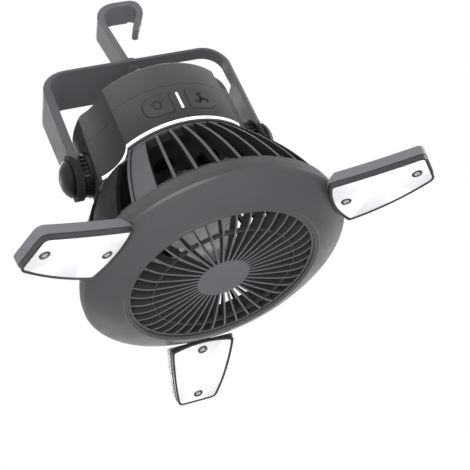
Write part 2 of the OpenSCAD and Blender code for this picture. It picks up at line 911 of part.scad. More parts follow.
// A cambered blade about +X, seen from below, before it is cut to its outline
module blade_plate() {
    translate([0, 0, impeller_low + impeller_h / 2 + blade_rise])
        rotate([blade_pitch, 0, 0])
            translate([0, 0, -blade_camber_r])
                along_x()
                    difference() {
                        cylinder(r = blade_camber_r + blade_t / 2, h = impeller_r + over, $fn = 360);
                        translate([0, 0, -over])
                            cylinder(r = blade_camber_r - blade_t / 2, h = impeller_r + 4 * over, $fn = 360);
                    }
}

module blade() {
    half = blade_span / 2;
    root = impeller_hub_r - 1.5;
    intersection() {
        blade_plate();
        translate([0, 0, impeller_low])
            linear_extrude(impeller_h)
                polygon(concat(arc([0, 0], impeller_r, -half + 4, half - 7, 20),
                    arc([0, 0], impeller_r - 3, half - 2, half - 1, 2),
                    arc([0, 0], root, half - 14, -half + 8, 10),
                    arc([0, 0], impeller_r - 3, -half, -half + 1, 2)));
    }
}

module impeller() {
    color("#2f3032")
        difference() {
            union() {
                translate([0, 0, impeller_low])
                    rotate_extrude()
                        polygon(concat([[0, 0]], bow([impeller_hub_r - 4, 0], [impeller_hub_r, 4], 1, 5),
                            [[impeller_hub_r, impeller_h], [0, impeller_h]]));
                for (i = [0:blades - 1]) rotate(blade_turn + i * 360 / blades) blade();
            }
            translate([0, 0, impeller_low + 5])
                difference() {
                    cylinder(r = impeller_hub_r - 2, h = impeller_h);
                    cylinder(r = 5, h = impeller_h);
                }
            translate([0, 0, shaft_low - 0.1])
                cylinder(r = shaft_r + 0.01, h = impeller_h + over, $fn = 48);
        }
}

// ---- Pivots, bracket and hook ----

module toothed_disc() {
    flange_w = disc_w * 0.35;
    cone_r = eye_r - 2;
    color("#39393b")
        difference() {
            translate([seat_x, 0, pivot_z])
                along_x() {
                    cylinder(r = eye_r - 0.5, h = flange_w);
                    cylinder(r1 = cone_r, r2 = cone_r - 2, h = disc_w);
                    for (a = [0:15:345])
                        rotate(a)
                            translate([cone_r - 1.3, -0.9, 0]) cube([1.6, 1.8, disc_w]);
                }
            translate([seat_x - over, 0, pivot_z])
                along_x() cylinder(r = bolt_r + thread_fit, h = disc_w + 2 * over);
        }
}

module pivot_bolt() {
    color("silver")
        translate([bolt_in_x, 0, pivot_z])
            along_x() {
                cylinder(r = bolt_r, h = leg_out_x + move_gap - bolt_in_x + 0.5);
                translate([0, 0, leg_out_x + move_gap - bolt_in_x])
                    difference() {
                        cylinder(r = head_r, h = head_w);
                        translate([0, 0, head_w - 2]) cylinder(r = 2.6, h = 3, $fn = 6);
                    }
            }
}

module knob() {
    room_h = head_w + move_gap + head_gap;
    color("#3f4042")
        translate([leg_out_x, 0, pivot_z])
            along_x()
                difference() {
                    rotate_extrude()
                        polygon(concat([[0, 0], [knob_r - 1, 0], [knob_r, 1], [knob_r, 2]],
                            bow([knob_r, 2.6], [0, knob_h], knob_r * 0.16, 12)));
                    translate([0, 0, -over]) cylinder(r = head_r + head_gap, h = room_h + over);
                }
}

// The strap's section, with its inner face on X = 0
module strap_section() {
    half = strap_w / 2;
    polygon([[0, -half], [strap_t - strap_bevel, -half], [strap_t, strap_bevel - half],
        [strap_t, half - strap_bevel], [strap_t - strap_bevel, half], [0, half]]);
}

// A leg of the strap with the corner above it
module strap_leg() {
    low = pivot_z - eye_r - over;
    translate([leg_in_x, 0, low]) linear_extrude(strap_top - strap_corner - low) strap_section();
    translate([leg_out_x - strap_corner, 0, strap_top - strap_corner])
        rotate([90, 0, 0])
            rotate_extrude(angle = 90, $fn = 128)
                translate([strap_corner - strap_t, 0]) strap_section();
}

// The bevel along a leg's edge, which narrows towards the eye
module leg_bevel() {
    cut = 3 * strap_t;
    narrow = atan((strap_w / 2 - eye_r) / (strap_z - 10 - pivot_z));
    translate([leg_out_x, -eye_r, pivot_z])
        rotate([narrow, 0, 0])
            rotate(-45)
                translate([-strap_bevel / sqrt(2), -cut / 2, -eye_r])
                    cube([cut, cut, strap_z - 10 - pivot_z + eye_r]);
}

module bracket() {
    half = strap_w / 2;
    flat = leg_out_x - strap_corner;
    color("#5a5b5d")
        difference() {
            union() {
                intersection() {
                    union() {
                        right_side() strap_leg();
                        left_side() strap_leg();
                        translate([flat, 0, strap_z]) rotate([0, -90, 0]) linear_extrude(2 * flat) strap_section();
                    }
                    rotate([90, 0, 90])
                        translate([0, 0, -leg_out_x - over])
                            linear_extrude(2 * leg_out_x + 2 * over) {
                                translate([0, pivot_z]) circle(eye_r);
                                polygon([[-eye_r, pivot_z], [-half, strap_z - 10], [-half, strap_top + over],
                                    [half, strap_top + over], [half, strap_z - 10], [eye_r, pivot_z]]);
                            }
                }
                for (side = [-1, 1])
                    translate([0, side * (window_w / 2 + lug_w / 2), 0])
                        slab_y(lug_w) translate([0, hook_z]) circle(lug_r);
            }
            for (x = [0, 1], y = [0, 1]) mirror([x, 0, 0]) mirror([0, y, 0]) leg_bevel();
            translate([window_left, -window_w / 2, window_low])
                cube([leg_out_x - window_left + over, window_w, strap_top - window_low + 6]);
            translate([-leg_out_x - over, 0, pivot_z])
                along_x() cylinder(r = bolt_r + bolt_fit, h = 2 * leg_out_x + 2 * over);
            translate([0, 0, hook_z])
                rotate([90, 0, 0])
                    cylinder(r = hook_pin_r + 0.02, h = window_w + 2 * lug_w - 1, center = true, $fn = 48);
        }
}

// Points on an arc about c from the angle a0 to a1
function arc(c, r, a0, a1, n = 32) = [for (i = [0:n]) let (a = a0 + (a1 - a0) * i / n) c + r * [cos(a), sin(a)]];

module hook_strip() {
    centre = [bend_x, bend_z];
    end = bend_x + hook_flat;
    polygon(concat([[-hook_t / 2, hook_z]], arc(centre, hook_bend, 180, 90),
        [[end, hook_top], [end, hook_top - hook_t]], arc(centre, hook_bend - hook_t, 90, 180),
        [[hook_t / 2, hook_z]]));
}

module hook_tip() {
    centre = [bend_x + hook_flat, hook_top - tip_bend];
    start = centre.x - 2;
    turned = 90 - tip_turn;
    end = centre + (tip_bend - hook_t / 2) * [cos(turned), sin(turned)]
        + tip_l * [sin(turned), -cos(turned)];
    polygon(concat([[start, hook_top]], arc(centre, tip_bend, 90, turned),
        arc(end, hook_t / 2, turned, turned - 180), arc(centre, tip_bend - hook_t, turned, 90),
        [[start, hook_top - hook_t]]));
}

// The tip's outline seen from its end: it narrows from the strip's width
module tip_width() {
    low = hook_top - tip_bend - tip_l - hook_t;
    translate([bend_x, 0, 0])
        rotate([90, 0, 90])
            linear_extrude(4 * hook_bend)
                polygon([[-hook_w / 2, hook_top + over], [-hook_w / 2, hook_top - hook_t / 2],
                    [-tip_w / 2 - 1, hook_top - tip_bend - 2], [-tip_w / 2, low], [tip_w / 2, low],
                    [tip_w / 2 + 1, hook_top - tip_bend - 2], [hook_w / 2, hook_top - hook_t / 2],
                    [hook_w / 2, hook_top + over]]);
}

module hook() {
    color("#626365")
        difference() {
            union() {
                slab_y(hook_w) {
                    hook_strip();
                    translate([0, hook_z]) circle(hook_barrel_r);
                }
                intersection() {
                    slab_y(hook_w) hook_tip();
                    tip_width();
                }
            }
            translate([0, 0, hook_z])
                rotate([90, 0, 0])
                    cylinder(r = hook_pin_r + turn_fit, h = hook_w + 2 * over, center = true, $fn = 48);
        }
}

module hook_pin() {
    color("silver")
        translate([0, 0, hook_z])
            rotate([90, 0, 0])
                cylinder(r = hook_pin_r, h = window_w + 2 * lug_w - 1.4, center = true, $fn = 48);
}

// ---- Light panels ----

// Height of the panel's bow at a place along it
function dip(u) = let (t = (u + panel_in) / (panel_in + panel_out)) -4 * panel_bow * t * (1 - t);

// A layer's outline from the side, between the heights low and high, from u0 to u1
function layer(low, high, u0, u1) = let (n = panel_samples, step = (u1 - u0) / n) concat(
    [for (i = [0:n]) let (u = u0 + i * step) [u, low + dip(u)]],
    [for (i = [n:-1:0]) let (u = u0 + i * step) [u, high + dip(u)]]);

// The panel's outline from the front, made smaller by inset
module panel_plan(inset) {
    slope = (panel_w_in - panel_w_out) / 2 / (panel_in + panel_out - panel_edge_bow);
    side_inset = inset * norm([1, slope]);
    wide = panel_w_in / 2 - side_inset - inset * slope;
    narrow = panel_w_out / 2 - side_inset + inset * slope;
    inner = -panel_in + panel_edge_bow + inset;
    outer = panel_out - inset;
    n = 10;
    edge = bow([inner, wide], [inner, -wide], panel_edge_bow, n);
    side = bow([inner, -wide], [outer, -narrow], panel_side_bow, n);
    back = [for (i = [n:-1:0]) [side[i].x, -side[i].y]];
    soft_out = panel_corner - inset;
    polygon(concat(
        [for (i = [1:n - 1]) edge[i]],
        corner(edge[n - 1], edge[n], side[1], 1.6),
        [for (i = [1:n - 1]) side[i]],
        corner(side[n - 1], side[n], back[0], soft_out),
        corner(side[n], back[0], back[1], soft_out),
        [for (i = [1:n - 1]) back[i]],
        corner(back[n - 1], back[n], edge[1], 1.6)));
}

// What is cut off a panel's inner end so that it clears the front ring
module ring_clearance() {
    slab_y(panel_w_in + 4 * over)
        polygon([[-panel_out, panel_front + 0.7], [-panel_in - 0.6, panel_front + 0.7],
            [0.2, panel_back + 0.8], [0.2, 2 * shell_d], [-panel_out, 2 * shell_d]]);
}

// Puts a shape from a panel's own frame (X outwards, Z to the panel's back) to its hinge
module at_hinge(angle) {
    rotate(angle) translate([hinge_r, 0, hinge_z]) rotate([0, panel_droop, 0]) children();
}

module panel_body(low, high, inset) {
    intersection() {
        translate([0, 0, -20]) linear_extrude(40) panel_plan(inset);
        slab_y(panel_w_in + 2 * over) polygon(layer(low, high, -panel_in - over, panel_out + over));
    }
}

module panel_shell(angle) {
    screw_u = panel_screws_u[1];
    color("#525355")
        at_hinge(angle) {
            difference() {
                union() {
                    difference() {
                        panel_body(panel_split, panel_back, 0);
                        difference() {
                            panel_body(panel_split - over, panel_back - panel_wall, panel_wall);
                            translate([-20, -panel_w_in, -20]) cube([notch_u + 21.6, 2 * panel_w_in, 40]);
                        }
                        ring_clearance();
                        translate([-30, -notch_w / 2, panel_split + notch_floor - panel_bow / 2])
                            cube([30 + notch_u, notch_w, 20]);
                    }
                    translate([screw_u, 0, panel_split + dip(screw_u) + board_t + 0.4])
                        cylinder(r = 3, h = shell_d - board_t - 1.6, $fn = 48);
                    slab_y(barrel_w) {
                        circle(barrel_r);
                        polygon([[0, barrel_r - 1.4], [notch_u + 0.5, barrel_r - 1.6],
                            [notch_u + 0.5, panel_split + 1], [0, -barrel_r]]);
                    }
                }
                rotate([90, 0, 0])
                    cylinder(r = panel_pin_r + turn_fit, h = barrel_w + 2 * over, center = true, $fn = 48);
                for (u = panel_screws_u)
                    translate([u, 0, panel_front])
                        cylinder(r = panel_screw_r + thread_fit, h = frame_d + 4.4, $fn = 32);
            }
        }
}

module panel_frame(angle) {
    color("#46474a")
        at_hinge(angle)
            difference() {
                panel_body(panel_front, panel_split - 0.05, frame_step);
                translate([0, 0, -20]) linear_extrude(40) panel_plan(frame_step + frame_w);
                ring_clearance();
            }
}

module panel_lens(angle) {
    color("white")
        at_hinge(angle)
            difference() {
                panel_body(lens_front, lens_front + lens_t, frame_step + frame_w + lens_gap);
                for (u = panel_screws_u)
                    translate([u, 0, lens_front + dip(u)]) {
                        translate([0, 0, -over]) cylinder(r = panel_head_r + 0.5, h = 0.9 + over, $fn = 48);
                        cylinder(r = panel_screw_r + 0.2, h = 4, $fn = 32);
                    }
            }
}

module panel_board(angle) {
    low = panel_split + 0.1;
    start = notch_u + 4;
    end = panel_out - 3.4;
    rows = 5;
    color("ivory")
        at_hinge(angle)
            difference() {
                union() {
                    intersection() {
                        translate([0, 0, -20]) linear_extrude(40) panel_plan(board_clear);
                        slab_y(panel_w_in) polygon(layer(low, low + board_t, start, end));
                    }
                    for (i = [0:rows - 1], side = [-1, 0, 1])
                        translate([start + 4 + i * 8, side * (12 - i * 1.3), low + dip(start + 4 + i * 8)])
                            translate([-1.4, -1.4, -0.8]) cube([2.8, 2.8, 1]);
                }
                translate([panel_screws_u[1], 0, -20]) cylinder(r = 3.4, h = 40, $fn = 48);
            }
}

module panel_screws(angle) {
    color("gray")
        at_hinge(angle)
            for (u = panel_screws_u)
                translate([u, 0, lens_front + dip(u) + 0.9 - panel_head_h - 0.02])
                    mirror([0, 0, 1])
                        screw(panel_head_r, panel_head_h, panel_screw_r,
                            u < 0 ? frame_d - 0.4 : frame_d + 2.4, $fn = 32);
}

module hinge_pin(angle) {
    color("silver")
        rotate(angle)
            translate([hinge_r, 0, hinge_z])
                rotate([90, 0, 0])
                    cylinder(r = panel_pin_r, h = barrel_w + 2 * lug_t + 0.6, center = true, $fn = 48);
}

// ---- Nodes ----

front_ring();
grille();
rib_cage();
light_ring();
light_ring_board();
control_housing();
top_cover();
cover_screws();
button(-1);  // light_button
button(1);  // fan_button
indicator_light();
control_board();
battery_cells();
battery_holder();
charging_socket();
port_cover();
motor_plate();
plate_screws();
motor();
motor_shaft();
impeller();
cage_screws();
left_side() toothed_disc();  // left_toothed_disc
right_side() toothed_disc();  // right_toothed_disc
left_side() pivot_bolt();  // left_pivot_bolt
right_side() pivot_bolt();  // right_pivot_bolt
left_side() knob();  // left_knob
right_side() knob();  // right_knob
bracket();
hook();
hook_pin();
panel_shell(panel_angles[0]);  // left_panel_shell
panel_frame(panel_angles[0]);  // left_panel_frame
panel_lens(panel_angles[0]);  // left_panel_lens
panel_board(panel_angles[0]);  // left_panel_board
panel_screws(panel_angles[0]);  // left_panel_screws
hinge_pin(panel_angles[0]);  // left_hinge_pin
panel_shell(panel_angles[1]);  // right_panel_shell
panel_frame(panel_angles[1]);  // right_panel_frame
panel_lens(panel_angles[1]);  // right_panel_lens
panel_board(panel_angles[1]);  // right_panel_board
panel_screws(panel_angles[1]);  // right_panel_screws
hinge_pin(panel_angles[1]);  // right_hinge_pin
panel_shell(panel_angles[2]);  // rear_panel_shell
panel_frame(panel_angles[2]);  // rear_panel_frame
panel_lens(panel_angles[2]);  // rear_panel_lens
panel_board(panel_angles[2]);  // rear_panel_board
panel_screws(panel_angles[2]);  // rear_panel_screws
hinge_pin(panel_angles[2]);  // rear_hinge_pin
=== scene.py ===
import json
import math

import bmesh
import bpy
from mathutils import Euler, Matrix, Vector


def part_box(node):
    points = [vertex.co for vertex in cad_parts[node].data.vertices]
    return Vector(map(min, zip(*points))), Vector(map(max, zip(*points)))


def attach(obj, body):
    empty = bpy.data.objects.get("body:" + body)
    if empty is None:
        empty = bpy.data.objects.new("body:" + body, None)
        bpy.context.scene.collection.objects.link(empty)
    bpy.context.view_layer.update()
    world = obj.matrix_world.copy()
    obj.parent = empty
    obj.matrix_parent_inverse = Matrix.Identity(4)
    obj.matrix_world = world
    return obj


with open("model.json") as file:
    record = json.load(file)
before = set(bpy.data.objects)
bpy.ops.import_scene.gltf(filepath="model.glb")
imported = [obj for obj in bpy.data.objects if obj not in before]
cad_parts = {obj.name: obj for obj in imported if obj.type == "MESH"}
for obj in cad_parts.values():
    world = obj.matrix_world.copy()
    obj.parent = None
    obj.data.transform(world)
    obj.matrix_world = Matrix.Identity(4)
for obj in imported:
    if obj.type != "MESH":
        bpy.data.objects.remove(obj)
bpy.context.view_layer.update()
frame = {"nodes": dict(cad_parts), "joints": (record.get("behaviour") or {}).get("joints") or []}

# Looks of the hanging camping fan: a material for each CAD node, the two button symbols,
# and the stage, lamps and camera. Lengths are in metres, and noise scales in cells per metre.

MM = 0.001

# Sizes and places that the frame gives
JOINTS = {joint["name"]: joint for joint in frame["joints"]}
LEDGE_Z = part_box("light_ring")[0].z
COVER_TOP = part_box("top_cover")[1].z
DRUM_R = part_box("top_cover")[1].y
PIVOT_Z = JOINTS["bracket_tilt"]["pos_m"][2]
BUTTON_Z = sum(corner.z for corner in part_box("light_button")) / 2

# The cage's outer skin: radius and height at its two ends, and its bulge over a straight line
CAGE_FOOT = (89.6 * MM, 23.7 * MM)
CAGE_HEAD = (58.2 * MM, 84.4 * MM)
CAGE_BOW = 3.4 * MM
# How deep the skin's pale tone, a painted highlight, reaches, past the wire pillars, and the depth over
# which it then fades
SKIN_DEPTH = 1.8 * MM
SKIN_FADE = 1.0 * MM
# Half the angle of the sector of painted shade over a closed wall: a little more than the wall's own
WALL_SHADE = math.radians(10.5)

# Radii on either side of the ring that ties the grille's ribs, and a plane just in front of it, which
# bound the painted shade on that ring
TIE_RING = (47.7 * MM, 49.7 * MM)
TIE_RING_FRONT = -1.2 * MM

# Radius of the shade on the bracket's eyes, and height of the light ring's unlit foot
EYE_SHADE = 16.5 * MM
GLOW_FOOT = 1.7 * MM

PANEL_SIDES = ("left", "right", "rear")
# How far a panel leans from level, how far out from its hinge its screws sit, and their bright centre
PANEL_DROOP = math.radians(9)
PANEL_SCREWS_U = (-2.8 * MM, 45.5 * MM)
SCREW_CENTRE_R = 1.7 * MM
# Where the lamp sits along a panel and across it: towards the buttons on the side panels
LAMP_U = 24 * MM
LAMP_V = {"left": 9 * MM, "right": -9 * MM, "rear": 0.0}
# Pairs of pale and grey facets in the reflector, and how far they are turned, as a share of a pair
LENS_FACETS = 5
LENS_TURN = 0.15

# How far the buttons stand out of the drum, and the height and line widths of their symbols
BUTTON_PROUD = 0.3 * MM
SYMBOL_HEIGHT = 0.06 * MM
LAMP_LINE = 0.5 * MM
FAN_LINE = 1.6 * MM

# The camera of the photograph: place, turn in degrees, focal length and film width in millimetres
CAMERA_AT = (-0.25682, -0.63704, -0.40872)
CAMERA_TURN = (125.110, 21.604, -9.009)
CAMERA_LENS = 94.56
CAMERA_FILM = 36

# The floor: how far it reaches from the fan's axis, its height, and the share of white that the
# camera sees in it
FLOOR_REACH = 4.0
FLOOR_Z = -1.3
FLOOR_WHITE = 0.85
# The colours and strength of the light
SKY_COLOUR = (0.93, 0.95, 1.0)
SKY_STRENGTH = 0.33
WHITE = (1.0, 1.0, 1.0)
COOL_WHITE = (0.88, 0.94, 1.0)

# The grey that most of the fan is moulded in
SHELL_GREY = (0.088, 0.090, 0.094)

# The way the grille faces, and the way from pivot to pivot
FRONT = (0, 0, -1)
ALONG_PIVOTS = (1, 0, 0)


# ---- Node helpers ----


class Nodes:
    """Adds nodes to a node tree, call by call."""

    def __init__(self, tree):
        self.tree = tree

    def node(self, kind, **settings):
        made = self.tree.nodes.new("ShaderNode" + kind)
        for key, value in settings.items():
            setattr(made, key, value)
        return made

    def feed(self, socket, value):
        """Gives a socket its number, vector or colour, or links it to another node's output."""
        if isinstance(value, bpy.types.NodeSocket):
            self.tree.links.new(value, socket)
        elif socket.type == "RGBA":
            socket.default_value = (*value, 1.0)
        else:
            socket.default_value = value

    def maths(self, operation, a, b=0.0):
        made = self.node("Math", operation=operation)
        self.feed(made.inputs[0], a)
        self.feed(made.inputs[1], b)
        return made.outputs["Value"]

    def plus(self, a, b):
        return self.maths("ADD", a, b)

    def minus(self, a, b):
        return self.maths("SUBTRACT", a, b)

    def times(self, product, *factors):
        for factor in factors:
            product = self.maths("MULTIPLY", product, factor)
        return product

    def mix_shaders(self, factor, a, b):
        made = self.node("MixShader")
        for socket, value in zip(made.inputs, (factor, a, b)):
            self.feed(socket, value)
        return made.outputs["Shader"]


class Shader(Nodes):
    """A node material that is built up call by call around one Principled shader."""

    def __init__(self, name):
        self.material = bpy.data.materials.new(name)
        self.material.use_nodes = True
        super().__init__(self.material.node_tree)
        self.bsdf = self.tree.nodes["Principled BSDF"]
        self.place = self.node("TexCoord").outputs["Object"]

    def surface(self, **values):
        """Feeds the Principled shader's sockets, each named with underscores for its spaces."""
        for key, value in values.items():
            self.feed(self.bsdf.inputs[key.replace("_", " ")], value)

    def noise(self, scale, detail=3.0, rough=0.5):
        made = self.node("TexNoise")
        for name, value in (("Scale", scale), ("Detail", detail), ("Roughness", rough)):
            made.inputs[name].default_value = value
        self.feed(made.inputs["Vector"], self.place)
        return made.outputs["Fac"]

    def remap(self, value, start, end, low=0.0, high=1.0):
        """Stretches start..end to low..high, and holds what lies beyond at low or high."""
        made = self.node("MapRange")
        for name, number in (("From Min", start), ("From Max", end), ("To Min", low), ("To Max", high)):
            made.inputs[name].default_value = number
        self.feed(made.inputs["Value"], value)
        return made.outputs["Result"]

    def clouds(self, scale, low=0.0, high=1.0, detail=3.0, rough=0.5, part=(0.3, 0.7)):
        """Noise that drifts from low to high, stretched from the part of its values that is used."""
        return self.remap(self.noise(scale, detail, rough), *part, low, high)

    def mix(self, factor, a, b):
        made = self.node("Mix", data_type="RGBA")
        for name, value in (("Factor", factor), ("A", a), ("B", b)):
            self.feed(made.inputs[name], value)
        return made.outputs["Result"]

    def round_edges(self, radius):
        """The surface's direction, turned softly over its edges."""
        made = self.node("Bevel", samples=4)
        made.inputs["Radius"].default_value = radius
        return made.outputs["Normal"]

    def bump(self, height, strength, depth, over=None):
        """The surface's direction with a relief on it, over a direction that is already rounded."""
        made = self.node("Bump")
        for name, value in (("Height", height), ("Strength", strength), ("Distance", depth)):
            self.feed(made.inputs[name], value)
        if over is not None:
            self.feed(made.inputs["Normal"], over)
        return made.outputs["Normal"]

    def edge_mask(self, rounded):
        """0 on flat stretches, 1 along the edges that rounded turns over."""
        flat = self.node("NewGeometry").outputs["Normal"]
        bend = self.minus(1.0, self.dot(rounded, flat))
        return self.remap(bend, start=0.01, end=0.22)

    def dot(self, a, b):
        made = self.node("VectorMath", operation="DOT_PRODUCT")
        self.feed(made.inputs[0], a)
        self.feed(made.inputs[1], b)
        return made.outputs["Value"]

    def split(self, vector):
        """The X, Y and Z of a vector."""
        made = self.node("SeparateXYZ")
        self.feed(made.inputs["Vector"], vector)
        return made.outputs["X"], made.outputs["Y"], made.outputs["Z"]

    def reach(self, a, b):
        """The length of a flat vector (a, b)."""
        return self.maths("SQRT", self.plus(self.times(a, a), self.times(b, b)))

    def facing(self):
        """The way the mesh itself faces."""
        return self.node("NewGeometry").outputs["True Normal"]

    def looks(self, way):
        """How far the surface looks a fixed way, from -1 to 1. It suits only pieces that stay put."""
        return self.dot(way, self.facing())

    def looks_out(self):
        """How far the surface looks away from the fan's axis, from -1 to 1."""
        x, y, _ = self.split(self.place)
        face_x, face_y, _ = self.split(self.facing())
        outwards = self.plus(self.times(x, face_x), self.times(y, face_y))
        return self.maths("DIVIDE", outwards, self.reach(x, y))


def tone(colour, factor):
    """A colour made darker or lighter, and no lighter than white."""
    return tuple(min(1.0, part * factor) for part in colour)


def panel_angle(side):
    """The way a light panel points from the fan's axis, in radians, from the place of its hinge."""
    x, y, _ = JOINTS[side + "_panel_fold"]["pos_m"]
    return math.atan2(y, x)


# ---- Masks of painted shade and highlight, and of the bracket's dark eyes ----


def cage_painted_light(s):
    """1 on the cage's outer skin, 0 down the fins' flanks and on the walls behind the panels: the pale
    skin is a painted highlight where light falls from above, and the dark flanks and walls are painted
    shade.
    """
    x, y, z = s.split(s.place)
    climb = s.remap(z, CAGE_FOOT[1], CAGE_HEAD[1])
    straight = s.remap(climb, 0.0, 1.0, low=CAGE_FOOT[0], high=CAGE_HEAD[0])
    bow = s.times(climb, s.minus(1.0, climb), 4 * CAGE_BOW)
    depth = s.minus(s.plus(straight, bow), s.reach(x, y))
    shallow = s.remap(depth, SKIN_DEPTH, SKIN_DEPTH + SKIN_FADE, low=1.0, high=0.0)
    outward = s.remap(s.looks_out(), start=0.3, end=0.6)
    return s.times(shallow, outward, wall_painted_shade(s, x, y))


def wall_painted_shade(s, x, y):
    """0 in the three sectors of the closed walls, 1 between them: it lays painted shade over the walls
    behind the panels.
    """
    panels = len(PANEL_SIDES)
    turn = s.times(s.maths("ARCTAN2", y, x), panels)
    # A wave with one crest at each panel, and its height at the edge of a wall
    wave = s.maths("COSINE", s.minus(turn, panels * panel_angle("rear")))
    edge = math.cos(panels * WALL_SHADE)
    fade = 0.01
    return s.remap(wave, edge - fade, edge + fade, low=1.0, high=0.0)


def grille_painted_shade(s):
    """1 on the grille's front faces, 0 down the ribs' flanks and on the ring that ties them, where the
    darker tone is painted shade.
    """
    x, y, z = s.split(s.place)
    out = s.reach(x, y)
    beyond = s.maths("GREATER_THAN", out, TIE_RING[0])
    within = s.maths("LESS_THAN", out, TIE_RING[1])
    behind = s.maths("GREATER_THAN", z, TIE_RING_FRONT)
    front = s.remap(s.looks(FRONT), start=0.3, end=0.7)
    return s.times(front, s.minus(1.0, s.times(beyond, within, behind)))


def drum_painted_shade(s):
    """0 on the light ring, rising to 1 at the top of the cover, and less beside the pivots: the darker
    tone low down and on the pivot sides is painted shade.
    """
    _, _, z = s.split(s.place)
    sideways = s.looks(ALONG_PIVOTS)
    open_side = s.remap(s.times(sideways, sideways), start=0.3, end=0.8, low=1.0, high=0.3)
    return s.times(open_side, s.remap(z, LEDGE_Z, COVER_TOP))


def bezel_painted_shade(s):
    """1 on the ring's front face, falling to 0 on its outer band, which is darkened as painted shade."""
    return s.remap(s.looks(FRONT), start=0.0, end=0.6)


def beyond_eyes(s):
    """1 along the bracket's strap, 0 on the round eyes that the knobs clamp."""
    _, y, z = s.split(s.place)
    fade = 0.3 * MM
    return s.remap(s.reach(y, s.minus(z, PIVOT_Z)), EYE_SHADE - fade, EYE_SHADE + fade)


# ---- Materials ----


def moulded_plastic(name, colour, rough=0.42, edge=0.5, radius=0.4 * MM, shine=0.3, dark=1, lit=None):
    """Spark-textured moulding: fine grain, slow colour drift, lighter edges that are partly rubbed wear
    and partly a painted highlight, a few scuffs.

    edge is how strongly the edges are lightened, radius how far they are rounded, shine the specular
    level.
    lit gives 1 where the moulding has its full colour and 0 where that is toned down by the factor dark;
    on the bezel, drum, cage and grille this darker tone is painted shade.
    """
    s = Shader(name)
    drift = s.clouds(scale=22, detail=4, rough=0.6)
    speck = s.clouds(scale=1900, detail=2, high=0.35, part=(0.42, 0.62))
    body = s.mix(drift, tone(colour, 0.93), tone(colour, 1.07))
    body = s.mix(speck, body, tone(colour, 1.16))
    scuff = s.clouds(75, low=rough - 0.06, high=rough + 0.08, detail=5, rough=0.7, part=(0.35, 0.7))
    if lit:
        shown = lit(s)
        body = s.mix(shown, tone(colour, dark), body)
        scuff = s.plus(scuff, s.remap(shown, 0.0, 1.0, low=0.25, high=0.0))
    rounded = s.round_edges(radius)
    # Lighter edges: partly rubbed wear, partly a painted highlight where the edges catch the light
    edge_wear_and_highlight = s.times(s.edge_mask(rounded), s.clouds(scale=160, low=0.25, part=(0.35, 0.65)), edge)
    grain = s.plus(s.noise(scale=2600, detail=2), s.times(s.noise(scale=900, detail=2), 0.6))
    s.surface(
        Base_Color=s.mix(edge_wear_and_highlight, body, tone(colour, 1.9)),
        Roughness=scuff,
        Normal=s.bump(grain, strength=0.35, depth=0.04 * MM, over=rounded),
        Specular_IOR_Level=shine,
    )
    return s.material


def gloss_plastic(name, colour):
    """Polished moulding with faint flow lines and dust."""
    s = Shader(name)
    flow = s.clouds(scale=60, detail=4, rough=0.6)
    dust = s.clouds(scale=700, high=0.35, part=(0.55, 0.75))
    ripple = s.noise(scale=120, detail=2)
    body = s.mix(flow, tone(colour, 0.9), tone(colour, 1.1))
    s.surface(
        Base_Color=s.mix(dust, body, tone(colour, 1.5)),
        Roughness=s.clouds(scale=240, low=0.15, high=0.32, detail=4),
        Normal=s.bump(ripple, strength=0.05, depth=0.1 * MM, over=s.round_edges(0.3 * MM)),
        Coat_Weight=0.35,
        Coat_Roughness=0.12,
    )
    return s.material


def plated_steel(name, colour=(0.62, 0.62, 0.63), rough=0.3):
    """Plated steel with a fine grain and darker spots."""
    s = Shader(name)
    spots = s.clouds(scale=900, detail=4, rough=0.7, part=(0.4, 0.7))
    grain = s.noise(scale=3200, detail=2)
    s.surface(
        Base_Color=s.mix(spots, colour, tone(colour, 0.6)),
        Roughness=s.clouds(scale=1500, low=rough - 0.08, high=rough + 0.14),
        Normal=s.bump(grain, strength=0.15, depth=0.03 * MM, over=s.round_edges(0.2 * MM)),
        Metallic=1.0,
    )
    return s.material


def soft_rubber(name, colour):
    """Matte rubber, slightly mottled, with a powdery bloom."""
    s = Shader(name)
    bloom = s.clouds(scale=300, high=0.5, detail=4, rough=0.6, part=(0.4, 0.75))
    powder = s.noise(scale=1800)
    s.surface(
        Base_Color=s.mix(bloom, colour, tone(colour, 2.2)),
        Roughness=s.clouds(scale=500, low=0.7, high=0.9),
        Normal=s.bump(powder, strength=0.3, depth=0.05 * MM, over=s.round_edges(0.5 * MM)),
    )
    return s.material


def glowing_ring(name):
    """Frosted ring that glows in soft pools, above a foot that stays unlit."""
    s = Shader(name)
    _, _, z = s.split(s.place)
    fade = 0.2 * MM
    foot = LEDGE_Z + GLOW_FOOT
    lit = s.remap(z, foot - fade, foot + fade)
    frost = s.noise(scale=1200)
    body = s.mix(s.remap(frost, 0.4, 0.6), (0.90, 0.92, 0.94), (0.97, 0.98, 1.0))
    pools = s.clouds(scale=35, low=0.8, high=1.05, detail=2, part=(0.35, 0.65))
    s.surface(
        Base_Color=s.mix(lit, tone(SHELL_GREY, 0.5), body),
        Roughness=s.remap(frost, 0.3, 0.7, low=0.3, high=0.5),
        Normal=s.bump(frost, strength=0.2, depth=0.03 * MM, over=s.round_edges(0.3 * MM)),
        Emission_Color=(0.93, 0.97, 1.0),
        Emission_Strength=s.times(lit, pools),
    )
    return s.material


def panel_place(s, side):
    """Coordinates in a panel's own frame: X outwards from its hinge, Y across, Z to its back."""
    x, y, z = JOINTS[side + "_panel_fold"]["pos_m"]
    steps = (
        ("Rotation", (0, 0, -panel_angle(side))),
        ("Location", (-math.hypot(x, y), 0, -z)),
        ("Rotation", (0, -PANEL_DROOP, 0)),
    )
    place = s.place
    for kind, amount in steps:
        step = s.node("Mapping", vector_type="POINT")
        step.inputs[kind].default_value = amount
        s.feed(step.inputs["Vector"], place)
        place = step.outputs["Vector"]
    return place


